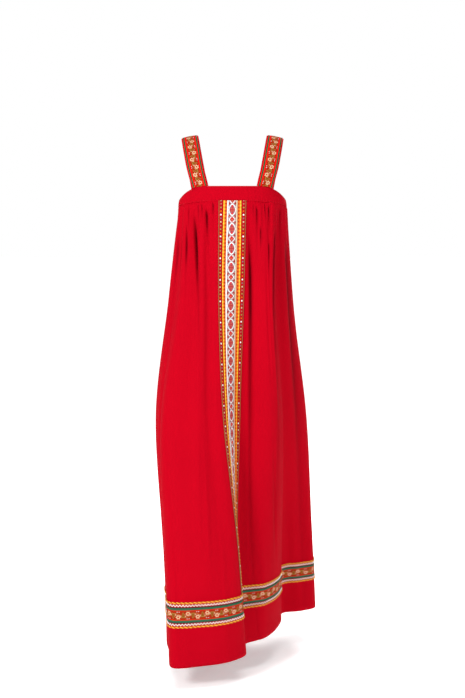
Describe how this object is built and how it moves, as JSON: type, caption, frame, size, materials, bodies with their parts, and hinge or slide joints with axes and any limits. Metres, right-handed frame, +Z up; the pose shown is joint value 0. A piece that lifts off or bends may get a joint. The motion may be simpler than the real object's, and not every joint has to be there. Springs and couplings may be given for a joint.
{
  "type": "sarafan dress",
  "caption": "Long red pinafore dress on two ribboned shoulder straps, gathered into a narrow chest band, with a ribboned centre front and hem, hanging open and in mid-stride as worn.",
  "frame": {"origin": "midway between the undersides of the two shoulder straps, where the wearer's shoulders carry them", "axes": "+Z up, -Y out of the dress's front, +X towards the viewer's right as seen from the front"},
  "size_m": [0.4549, 0.5846, 1.4157],
  "materials": {
    "red_cloth": "matt plain weave in bright crimson red",
    "flower_ribbon": "woven ribbon with cream and gold flowers on red between green stripes",
    "white_ribbon": "white woven ribbon with a column of red lozenges",
    "yellow_braid": "yellow and orange braid with a slight thread sheen",
    "dotted_ribbon": "dark red woven ribbon with pale dots and a gold edge",
    "white_braid": "white zigzag braid"
  },
  "bodies": {
    "root": {"hem_braid_lower_back": "yellow_braid", "hem_braid_lower_front": "yellow_braid", "hem_braid_upper_back": "yellow_braid", "hem_braid_upper_front": "yellow_braid", "hem_ribbon_back": "flower_ribbon", "hem_ribbon_front": "flower_ribbon", "hem_zigzag_lower_back": "white_braid", "hem_zigzag_lower_front": "white_braid", "hem_zigzag_upper_back": "white_braid", "hem_zigzag_upper_front": "white_braid", "placket_braid_left": "yellow_braid", "placket_braid_right": "yellow_braid", "placket_edging_left": "dotted_ribbon", "placket_edging_right": "dotted_ribbon", "placket_ribbon": "white_ribbon", "skirt_back": "red_cloth", "skirt_front": "red_cloth", "strap_left": "red_cloth", "strap_ribbon_left": "flower_ribbon", "strap_ribbon_right": "flower_ribbon", "strap_right": "red_cloth", "yoke_back": "red_cloth", "yoke_front": "red_cloth"}
  },
  "joints": []
}
